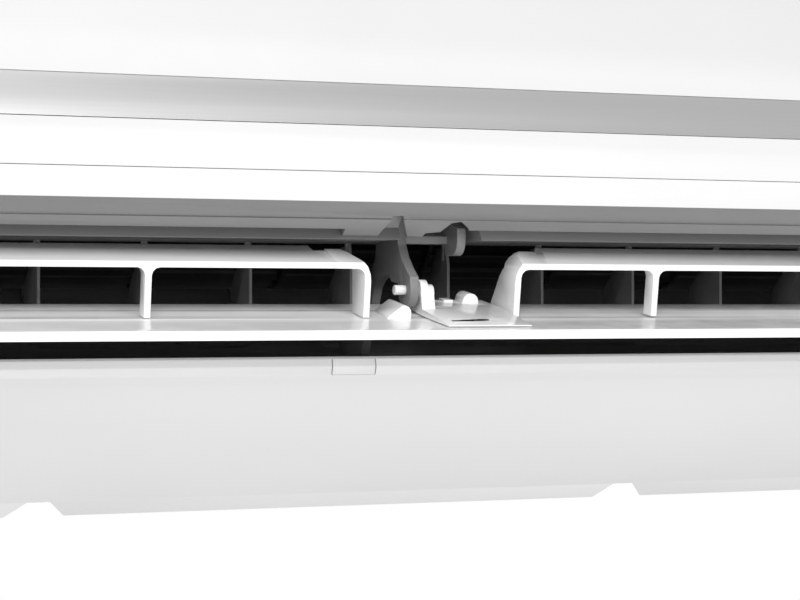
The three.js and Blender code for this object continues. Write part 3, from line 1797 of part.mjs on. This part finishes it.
place('louver_blade', louverBlade(), 'whiteLouver');
const leftPosts = [1, 2].map((i) => leftDeflectorEnd - i * postPitch);
const rightPosts = [0, 1].map((i) => 103.3 + i * postPitch);
place(
  'deflector_left',
  deflector(louverLeft + 4, leftDeflectorEnd, leftDeflectorEnd, leftPosts),
  'whiteLouver',
);
place(
  'deflector_right',
  deflector(rightDeflectorEnd, louverRight - 4, rightDeflectorEnd, rightPosts),
  'whiteLouver',
);
place('louver_clip', louverClip(), 'whiteLouver');
place(
  'louver_pin',
  barX(louverPivotY, louverPivotZ, -15.2, strutLeft + strutThickness + 7, louverPinRadius, 14),
  'whiteLouver',
);
place('louver_bush', louverBush(), 'blackPlastic');
place('louver_motor', louverMotor(), 'whiteCase');
place('centre_strut', centreStrut(), 'greyDuct');
place('strut_hook', strutHook(), 'greyDuct');

const leftCentres = vaneCentres.slice(0, vanesLeft);
const rightCentres = vaneCentres.slice(vanesLeft);
leftCentres.forEach((x, i) => place(`vane_left_${i + 1}`, vane(x), 'greyDuct'));
rightCentres.forEach((x, i) => place(`vane_right_${i + 1}`, vane(x), 'greyDuct'));
place('vane_link_left', vaneLink(leftCentres), 'greyDuct');
place('vane_link_right', vaneLink(rightCentres), 'greyDuct');

export default model;
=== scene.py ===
"""Materials, fine surfaces, light and camera for the wall-hung indoor unit. Metres, +Z up."""

import json
import math

import bmesh
import bpy
from mathutils import Matrix, Vector


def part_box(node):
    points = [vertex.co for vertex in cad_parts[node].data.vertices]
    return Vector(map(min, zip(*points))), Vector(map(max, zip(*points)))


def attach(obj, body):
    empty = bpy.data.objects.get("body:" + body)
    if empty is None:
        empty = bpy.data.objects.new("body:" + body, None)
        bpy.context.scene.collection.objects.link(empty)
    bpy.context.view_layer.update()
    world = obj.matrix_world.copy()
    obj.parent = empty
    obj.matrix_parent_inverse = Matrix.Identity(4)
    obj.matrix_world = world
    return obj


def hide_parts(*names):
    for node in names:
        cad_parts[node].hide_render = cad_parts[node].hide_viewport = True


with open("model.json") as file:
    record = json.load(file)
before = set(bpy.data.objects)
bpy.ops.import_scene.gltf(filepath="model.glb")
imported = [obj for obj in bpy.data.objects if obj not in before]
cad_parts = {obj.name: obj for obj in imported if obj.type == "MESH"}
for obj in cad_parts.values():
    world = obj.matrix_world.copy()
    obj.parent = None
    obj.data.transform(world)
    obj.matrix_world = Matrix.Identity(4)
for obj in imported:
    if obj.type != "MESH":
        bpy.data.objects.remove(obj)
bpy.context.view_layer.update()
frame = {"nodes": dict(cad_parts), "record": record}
nodes = frame["nodes"]

# ---------------------------------------------------------------- shared places

MM = 0.001
# The frame's origin stands this far above the level that part.mjs counts z from.
WALL_FACE_HEIGHT = 150 * MM


def in_unit(x, y, z):
    """Turns a point in the millimetres of part.mjs into the frame's metres."""
    return Vector((x * MM, y * MM, z * MM - WALL_FACE_HEIGHT))


# ---------------------------------------------------------------- camera

CAMERA_YAW = math.radians(20.556)
CAMERA_PITCH = math.radians(35.0)
CAMERA_PLACE = in_unit(-327.2, -813.0, -447.1)
FOCAL_PIXELS = 2100
IMAGE_WIDTH = 800
IMAGE_HEIGHT = 600
PRINCIPAL_ROW = 306
SENSOR_WIDTH = 36
CLIP_NEAR = 0.05
CLIP_FAR = 60


def make_camera():
    pitch_cos, pitch_sin = math.cos(CAMERA_PITCH), math.sin(CAMERA_PITCH)
    yaw_cos, yaw_sin = math.cos(CAMERA_YAW), math.sin(CAMERA_YAW)
    right = Vector((yaw_cos, -yaw_sin * pitch_cos, -yaw_sin * pitch_sin))
    up = Vector((0, -pitch_sin, pitch_cos))
    back = -Vector((yaw_sin, yaw_cos * pitch_cos, yaw_cos * pitch_sin))
    data = bpy.data.cameras.new("camera")
    data.sensor_width = SENSOR_WIDTH
    data.lens = FOCAL_PIXELS / IMAGE_WIDTH * SENSOR_WIDTH
    data.shift_y = (PRINCIPAL_ROW - IMAGE_HEIGHT / 2) / IMAGE_WIDTH
    data.clip_start = CLIP_NEAR
    data.clip_end = CLIP_FAR
    camera = bpy.data.objects.new("camera", data)
    bpy.context.scene.collection.objects.link(camera)
    turn = Matrix((right, up, back)).transposed().to_4x4()
    camera.matrix_world = Matrix.Translation(CAMERA_PLACE) @ turn
    bpy.context.scene.camera = camera


make_camera()

# ---------------------------------------------------------------- materials

# A noise between these two values covers the whole range of a colour or a roughness.
NOISE_LOW = 0.3
NOISE_HIGH = 0.7
# Scales of the cloudiness, of the duller and shinier patches, and of the drawn lines.
CLOUD_SCALE = 9
PATCH_SCALE = 60
LINE_SCALE = 6
# How far the roughness of a plastic goes up and down.
PATCH_VARY = 0.05


class Look:
    """A node-based material, built from object coordinates in metres."""

    def __init__(self, name):
        self.material = bpy.data.materials.new(name)
        self.material.use_nodes = True
        self.tree = self.material.node_tree
        self.shader = self.tree.nodes["Principled BSDF"]
        self.place = self.tree.nodes.new("ShaderNodeTexCoord").outputs["Object"]

    def node(self, kind):
        return self.tree.nodes.new("ShaderNode" + kind)

    def link(self, source, target):
        self.tree.links.new(source, target)

    def stretched(self, scale):
        """The coordinates, times a factor for each axis."""
        mapping = self.node("Mapping")
        mapping.inputs["Scale"].default_value = scale
        self.link(self.place, mapping.inputs["Vector"])
        return mapping.outputs["Vector"]

    def noise(self, scale, detail, roughness=0.5, vector=None):
        made = self.node("TexNoise")
        made.inputs["Scale"].default_value = scale
        made.inputs["Detail"].default_value = detail
        made.inputs["Roughness"].default_value = roughness
        self.link(vector or self.place, made.inputs["Vector"])
        return made.outputs["Fac"]

    def spread(self, source, low, high):
        """A noise, mapped onto the range from low to high."""
        made = self.node("MapRange")
        made.inputs["From Min"].default_value = NOISE_LOW
        made.inputs["From Max"].default_value = NOISE_HIGH
        made.inputs["To Min"].default_value = low
        made.inputs["To Max"].default_value = high
        self.link(source, made.inputs["Value"])
        return made.outputs["Result"]

    def colours(self, source, low, high):
        """Lets a noise choose between two colours."""
        made = self.node("ValToRGB")
        made.color_ramp.elements[0].position = NOISE_LOW
        made.color_ramp.elements[0].color = (*low, 1)
        made.color_ramp.elements[1].position = NOISE_HIGH
        made.color_ramp.elements[1].color = (*high, 1)
        self.link(source, made.inputs["Fac"])
        self.link(made.outputs["Color"], self.shader.inputs["Base Color"])

    def roughness(self, source):
        self.link(source, self.shader.inputs["Roughness"])

    def bump(self, source, depth):
        made = self.node("Bump")
        made.inputs["Strength"].default_value = 1.0
        made.inputs["Distance"].default_value = depth
        self.link(source, made.inputs["Height"])
        self.link(made.outputs["Normal"], self.shader.inputs["Normal"])

    def constant(self, **values):
        """Sets shader inputs by name, with _ in place of a space."""
        for name, value in values.items():
            self.shader.inputs[name.replace("_", " ")].default_value = value


def plastic(name, low, high, rough, grain=1400, depth=0.00004, specular=0.5):
    """Moulded plastic: a faint cloudiness, and a fine grain left by the mould."""
    look = Look(name)
    look.colours(look.noise(CLOUD_SCALE, detail=3), low, high)
    patches = look.noise(PATCH_SCALE, detail=3)
    look.roughness(look.spread(patches, rough - PATCH_VARY, rough + PATCH_VARY))
    look.bump(look.noise(grain, detail=1), depth)
    look.constant(Specular_IOR_Level=specular)
    return look.material


def satin_metal(name, low, high, rough, along=(2, 260, 260), vary=0.07, depth=0.00002):
    """Metal with fine drawn lines, drawn out along the axes that have small factors in along."""
    look = Look(name)
    lines = look.noise(LINE_SCALE, detail=4, roughness=0.6, vector=look.stretched(along))
    look.colours(lines, low, high)
    look.roughness(look.spread(lines, rough - vary, rough + vary))
    look.bump(lines, depth)
    look.constant(Metallic=1.0)
    return look.material


def grey(value):
    return (value, value, value)


# Each look is given by its darker and its lighter colour and its roughness.
looks = {
    "white_case": plastic("white_case", grey(0.60), grey(0.62), 0.42),
    # The louver's white is set lighter than the case's, though both are the same white plastic: painted
    # light that brightens its faces in the shade of the outlet.
    "white_louver": plastic(
        "white_louver", grey(0.91), grey(0.93), 0.2, depth=0.000004, specular=0.6),
    "silver_strip": satin_metal(
        "silver_strip", grey(0.41), grey(0.43), 0.38, along=(0.6, 900, 900), vary=0.01, depth=0.000001),
    "grey_plastic": plastic("grey_plastic", grey(0.19), grey(0.215), 0.42, grain=900),
    "dark_plastic": plastic("dark_plastic", grey(0.010), grey(0.014), 0.5, grain=900),
    "filter_net": plastic("filter_net", grey(0.03), grey(0.04), 0.6, grain=700),
    "coil_fins": satin_metal("coil_fins", grey(0.50), grey(0.62), 0.4, along=(1400, 3, 3)),
    "plated_steel": satin_metal(
        "plated_steel", (0.47, 0.48, 0.49), (0.58, 0.58, 0.59), 0.4, along=(3, 40, 40)),
    "copper": satin_metal("copper", (0.52, 0.22, 0.11), (0.68, 0.33, 0.18), 0.34, along=(4, 60, 60)),
    "brass": satin_metal("brass", (0.58, 0.42, 0.17), (0.68, 0.51, 0.24), 0.32, along=(90, 4, 4)),
    "rubber": plastic("rubber", grey(0.018), grey(0.026), 0.8, grain=600, specular=0.3),
    "circuit_board": plastic("circuit_board", (0.03, 0.12, 0.05), (0.05, 0.18, 0.08), 0.45, grain=500),
}

slot_of = {row["node"]: row["material_slot"] for row in frame["record"]["subparts"]}


def dress(obj, slot):
    obj.data.materials.clear()
    obj.data.materials.append(looks[slot])


# ---------------------------------------------------------------- surfaces of the solids

WELD_DISTANCE = 2e-6
FLAT_ANGLE = math.radians(1.0)
EDGE_ANGLE = math.radians(24)
EDGE_SEGMENTS = 2
EDGE_RADIUS = 0.25 * MM
NORMAL_WEIGHT = 80


def soften(obj, radius, merge):
    """Rounds the sharp edges of a solid and shades it smoothly between them.

    With merge, the triangles of each flat face are joined first. Without it they stay,
    and the normals are weighted so that the flat faces look flat.
    """
    weld = obj.modifiers.new("weld", "WELD")
    weld.merge_threshold = WELD_DISTANCE
    if merge:
        plane = obj.modifiers.new("plane", "DECIMATE")
        plane.decimate_type = "DISSOLVE"
        plane.angle_limit = FLAT_ANGLE
    bevel = obj.modifiers.new("edges", "BEVEL")
    bevel.width = radius
    bevel.segments = EDGE_SEGMENTS
    bevel.limit_method = "ANGLE"
    bevel.angle_limit = EDGE_ANGLE
    bevel.harden_normals = True
    bevel.use_clamp_overlap = True
    bevel.miter_outer = "MITER_ARC"
    if not merge:
        normals = obj.modifiers.new("normals", "WEIGHTED_NORMAL")
        normals.weight = NORMAL_WEIGHT
    obj.data.polygons.foreach_set("use_smooth", [True] * len(obj.data.polygons))


# Edges that are rounder or sharper than EDGE_RADIUS.
edge_radius = {
    "front_panel": 0.5 * MM,
    "front_frame": 0.5 * MM,
    "bottom_cover": 0.4 * MM,
    "trim_strip": 0.2 * MM,
}

# The filters are frames of thin ribs, which are left sharp.
sharp = ("filter_left", "filter_right")
# Flat faces with many openings keep their triangles.
pierced = ("front_frame",)

for name, obj in nodes.items():
    dress(obj, slot_of[name])
    if name not in sharp:
        soften(obj, edge_radius.get(name, EDGE_RADIUS), merge=name not in pierced)

# ---------------------------------------------------------------- fine pieces


class Faces:
    """Gathers points and faces for one mesh."""

    def __init__(self):
        self.points = []
        self.faces = []

    def prism(self, ends):
        """Joins equal rings of points, one after the other, and closes the first and the last."""
        size = len(ends[0])
        start = len(self.points)
        for ring in ends:
            self.points.extend(ring)
        for i in range(len(ends) - 1):
            low = start + i * size
            for j in range(size):
                k = (j + 1) % size
                self.faces.append((low + j, low + k, low + size + k, low + size + j))
        last = start + (len(ends) - 1) * size
        self.faces.append(tuple(range(start + size - 1, start - 1, -1)))
        self.faces.append(tuple(range(last, last + size)))

    def ring(self, x0, x1, centre, inner, outer, sides):
        """A flat ring whose axis runs along X."""
        start = len(self.points)
        for i in range(sides):
            turn = 2 * math.pi * i / sides
            for x, radius in ((x0, inner), (x0, outer), (x1, outer), (x1, inner)):
                y = centre[0] + radius * math.cos(turn)
                z = centre[1] + radius * math.sin(turn)
                self.points.append((x, y, z))
        for i in range(sides):
            a = start + 4 * i
            b = start + 4 * ((i + 1) % sides)
            for j in range(4):
                k = (j + 1) % 4
                self.faces.append((a + j, a + k, b + k, b + j))

    def build(self, name, slot, body, replaced=()):
        """Makes one piece of the faces, which moves with a body and may replace nodes of the CAD."""
        mesh = bpy.data.meshes.new(name)
        mesh.from_pydata(self.points, [], self.faces)
        mesh.validate()
        bm = bmesh.new()
        bm.from_mesh(mesh)
        bmesh.ops.recalc_face_normals(bm, faces=bm.faces)
        bm.to_mesh(mesh)
        bm.free()
        piece = bpy.data.objects.new(name, mesh)
        bpy.context.scene.collection.objects.link(piece)
        dress(piece, slot)
        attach(piece, body)
        if replaced:
            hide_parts(*replaced)


FAN_SECTIONS = 9
FAN_BLADES = 35
# Each section of the fan stands turned by this angle from the one before.
FAN_TWIST = math.radians(3.4)
# The fan's rim lies this far inside the box of the solid.
RIM_GAP = 0.4 * MM
DISC_HALF = 0.8 * MM
DISC_SIDES = 72
BLADE_DEPTH = 11 * MM
BLADE_LEAD = math.radians(26)
BLADE_CAMBER = 1.9 * MM
BLADE_HALF = 0.5 * MM
BLADE_STEPS = 4
# The thickness of a blade's edges, as a share of the thickness in its middle.
BLADE_TIP = 0.35
# The depth of a blade's middle below the rim, and the width of a middle disc, in blade depths.
BLADE_INSET = 0.46
DISC_WIDTH = 1.3
# The radius of the hole for the shafts, and the hubs at both ends.
SHAFT_ROOM = 4.4 * MM
HUB_SIDES = 24
LEFT_HUB_LENGTH = 8 * MM
LEFT_HUB_RADIUS = 10 * MM
RIGHT_HUB_LENGTH = 14 * MM
RIGHT_HUB_RADIUS = 12 * MM


def blade_ring(x, centre, radius, turn):
    """The section of one curved fan blade, at a place along the fan."""
    upper, lower = [], []
    for i in range(BLADE_STEPS + 1):
        share = i / BLADE_STEPS
        along = (share - 0.5) * BLADE_DEPTH
        bow = 1 - (2 * share - 1) ** 2
        camber = BLADE_CAMBER * bow
        half = BLADE_HALF * (BLADE_TIP + (1 - BLADE_TIP) * bow)
        for points, side in ((upper, half), (lower, -half)):
            a = along * math.cos(BLADE_LEAD) - (camber + side) * math.sin(BLADE_LEAD)
            b = along * math.sin(BLADE_LEAD) + (camber + side) * math.cos(BLADE_LEAD)
            r = radius - BLADE_DEPTH * BLADE_INSET + a
            y = centre[0] + r * math.cos(turn) - b * math.sin(turn)
            z = centre[1] + r * math.sin(turn) + b * math.cos(turn)
            points.append((x, y, z))
    return upper + lower[::-1]


def make_fan():
    """Discs with curved blades between them, in the room of the solid fan."""
    low, high = (Vector(corner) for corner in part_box("cross_flow_fan"))
    centre = ((low.y + high.y) / 2, (low.z + high.z) / 2)
    radius = (high.y - low.y) / 2 - RIM_GAP
    faces = Faces()
    step = (high.x - low.x - 2 * DISC_HALF) / FAN_SECTIONS
    for section in range(FAN_SECTIONS + 1):
        x = low.x + DISC_HALF + section * step
        closed = section in (0, FAN_SECTIONS)
        inner = SHAFT_ROOM if closed else radius - BLADE_DEPTH * DISC_WIDTH
        faces.ring(x - DISC_HALF, x + DISC_HALF, centre, inner, radius, DISC_SIDES)
        if section < FAN_SECTIONS:
            for i in range(FAN_BLADES):
                turn = 2 * math.pi * i / FAN_BLADES + section * FAN_TWIST
                first = blade_ring(x + DISC_HALF, centre, radius, turn)
                last = blade_ring(x + step - DISC_HALF, centre, radius, turn)
                faces.prism([first, last])
    left, right = low.x + DISC_HALF, high.x - DISC_HALF
    faces.ring(high.x - RIGHT_HUB_LENGTH, right, centre, SHAFT_ROOM, RIGHT_HUB_RADIUS, HUB_SIDES)
    faces.ring(left, low.x + LEFT_HUB_LENGTH, centre, SHAFT_ROOM, LEFT_HUB_RADIUS, HUB_SIDES)
    faces.build("fan_wheel", "dark_plastic", "fan", ["cross_flow_fan"])


FIN_STEP = 1.5 * MM
FIN_THICKNESS = 0.2 * MM


def section_outline(obj):
    """The corners, in [y, z], of a solid with one convex section all along X."""
    corners = {(round(v.co.y, 6), round(v.co.z, 6)) for v in obj.data.vertices}
    y0 = sum(c[0] for c in corners) / len(corners)
    z0 = sum(c[1] for c in corners) / len(corners)
    return sorted(corners, key=lambda c: math.atan2(c[1] - z0, c[0] - y0))


def make_fins(name):
    """A stack of thin fins in place of a solid coil slab."""
    outline = section_outline(nodes[name])
    low, high = (Vector(corner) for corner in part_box(name))
    faces = Faces()
    count = int((high.x - low.x) / FIN_STEP)
    for i in range(count + 1):
        x = low.x + i * (high.x - low.x - FIN_THICKNESS) / count
        faces.prism([[(x, y, z) for y, z in outline], [(x + FIN_THICKNESS, y, z) for y, z in outline]])
    faces.build(name + "_fins", "coil_fins", "unit", [name])


NET_STEP = 3 * MM
THREAD_HALF = 0.25 * MM
FILTER_RIM = 6 * MM
FILTER_BEND = 12 * MM
FILTER_HALF = 1.1 * MM
BEND_STEPS = 6
# A thread that follows the filter's curve has one corner for this many steps of a straight run.
STRAIGHT_SKIP = 6
NEAR = 1e-6


def net_line(low, high, front, top):
    """Places of the threads along X, in [y, z]: up the front, round the bend and back along the top."""
    bend_y, bend_z = low.y + FILTER_BEND, high.z - FILTER_BEND
    foot, rear = low.z + FILTER_RIM, high.y - FILTER_RIM
    radius = FILTER_BEND - FILTER_HALF
    line = []
    for i in range(int((bend_z - foot) / NET_STEP)):
        line.append((front, foot + i * NET_STEP))
    for i in range(BEND_STEPS + 1):
        turn = math.radians(180 - 90 / BEND_STEPS * i)
        line.append((bend_y + radius * math.cos(turn), bend_z + radius * math.sin(turn)))
    for i in range(1, int((rear - bend_y) / NET_STEP)):
        line.append((bend_y + i * NET_STEP, top))
    return line


def make_net(name):
    """A net of fine threads in a filter, which runs up the front and bends back at the top."""
    low, high = (Vector(corner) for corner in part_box(name))
    front, top = low.y + FILTER_HALF, high.z - FILTER_HALF
    line = net_line(low, high, front, top)
    x0, x1 = low.x + FILTER_RIM, high.x - FILTER_RIM
    faces = Faces()
    t = THREAD_HALF
    square = ((-t, -t), (t, -t), (t, t), (-t, t))
    for y, z in line:
        faces.prism([[(x, y + across, z + up) for across, up in square] for x in (x0, x1)])
    sparse = line[::STRAIGHT_SKIP] + [line[-1]]
    curve = [p for p in line if p in sparse or (p[0] > front + NEAR and p[1] < top - NEAR)]
    count = int((x1 - x0) / NET_STEP)
    for i in range(count + 1):
        x = x0 + i * (x1 - x0) / count
        rings = []
        for j, (y, z) in enumerate(curve):
            before, after = curve[max(j - 1, 0)], curve[min(j + 1, len(curve) - 1)]
            along = Vector((after[0] - before[0], after[1] - before[1])).normalized()
            n = Vector((-along.y, along.x)) * t
            rings.append([(x - t, y + n.x, z + n.y), (x + t, y + n.x, z + n.y),
                          (x + t, y - n.x, z - n.y), (x - t, y - n.x, z - n.y)])
        faces.prism(rings)
    faces.build(name + "_net", "filter_net", name)


make_fan()
for coil in ("coil_front", "coil_top", "coil_rear"):
    make_fins(coil)
for side in ("filter_left", "filter_right"):
    make_net(side)

# ---------------------------------------------------------------- floor, world and lamps

# Far enough below the unit to leave room for views from below.
FLOOR_DEPTH = 4.5
FLOOR_SIZE = 12
FLOOR_GLOW = 0.35
FLOOR_NOISE_SCALE = 1.5
# How bright the world lights the unit, and how bright it is seen.
WORLD_LIGHT = 0.55
WORLD_SEEN = 1.0


def make_floor():
    bm = bmesh.new()
    bmesh.ops.create_grid(bm, x_segments=1, y_segments=1, size=FLOOR_SIZE)
    mesh = bpy.data.meshes.new("floor")
    bm.to_mesh(mesh)
    bm.free()
    floor = bpy.data.objects.new("floor", mesh)
    bpy.context.scene.collection.objects.link(floor)
    floor.location.z = -FLOOR_DEPTH
    look = Look("floor")
    look.colours(look.noise(FLOOR_NOISE_SCALE, detail=3), grey(0.86), grey(0.88))
    look.constant(Roughness=0.9, Emission_Strength=FLOOR_GLOW)
    mesh.materials.append(look.material)


def make_world():
    """A white world. The camera, reflections and clear things see it at its full brightness."""
    world = bpy.data.worlds.new("world")
    bpy.context.scene.world = world
    world.use_nodes = True
    tree = world.node_tree
    tree.nodes.clear()
    output = tree.nodes.new("ShaderNodeOutputWorld")
    mix = tree.nodes.new("ShaderNodeMixShader")
    paths = tree.nodes.new("ShaderNodeLightPath")
    seen = tree.nodes.new("ShaderNodeMath")
    seen.operation = "MAXIMUM"
    seen_more = tree.nodes.new("ShaderNodeMath")
    seen_more.operation = "MAXIMUM"
    tree.links.new(paths.outputs["Is Camera Ray"], seen.inputs[0])
    tree.links.new(paths.outputs["Is Glossy Ray"], seen.inputs[1])
    tree.links.new(seen.outputs[0], seen_more.inputs[0])
    tree.links.new(paths.outputs["Is Transmission Ray"], seen_more.inputs[1])
    tree.links.new(seen_more.outputs[0], mix.inputs[0])
    for strength, slot in ((WORLD_LIGHT, 1), (WORLD_SEEN, 2)):
        background = tree.nodes.new("ShaderNodeBackground")
        background.inputs["Color"].default_value = (1, 1, 1, 1)
        background.inputs["Strength"].default_value = strength
        tree.links.new(background.outputs[0], mix.inputs[slot])
    tree.links.new(mix.outputs[0], output.inputs["Surface"])


def lamp(name, place, aim, wide, high, watts):
    """A rectangular lamp at a place, turned towards a point."""
    data = bpy.data.lights.new(name, "AREA")
    data.shape = "RECTANGLE"
    data.size = wide
    data.size_y = high
    data.energy = watts
    obj = bpy.data.objects.new(name, data)
    bpy.context.scene.collection.objects.link(obj)
    obj.location = place
    obj.rotation_euler = (Vector(aim) - Vector(place)).to_track_quat("-Z", "Y").to_euler()


make_floor()
make_world()
lamp("key", place=(-0.4, -3.3, -0.4), aim=(0, -0.1, -0.1), wide=2.8, high=0.9, watts=75)
lamp("top", place=(-0.5, -2.2, 1.6), aim=(0, -0.1, 0), wide=1.0, high=1.0, watts=4.4)
lamp("low", place=(0.0, -0.7, -1.8), aim=(0, -0.1, 0), wide=1.8, high=1.0, watts=15)
bpy.context.scene.view_settings.view_transform = "Standard"

# ---------------------------------------------------------------- size and finish


def corners(bounds):
    return [list(map(float, corner)) for corner in bounds]
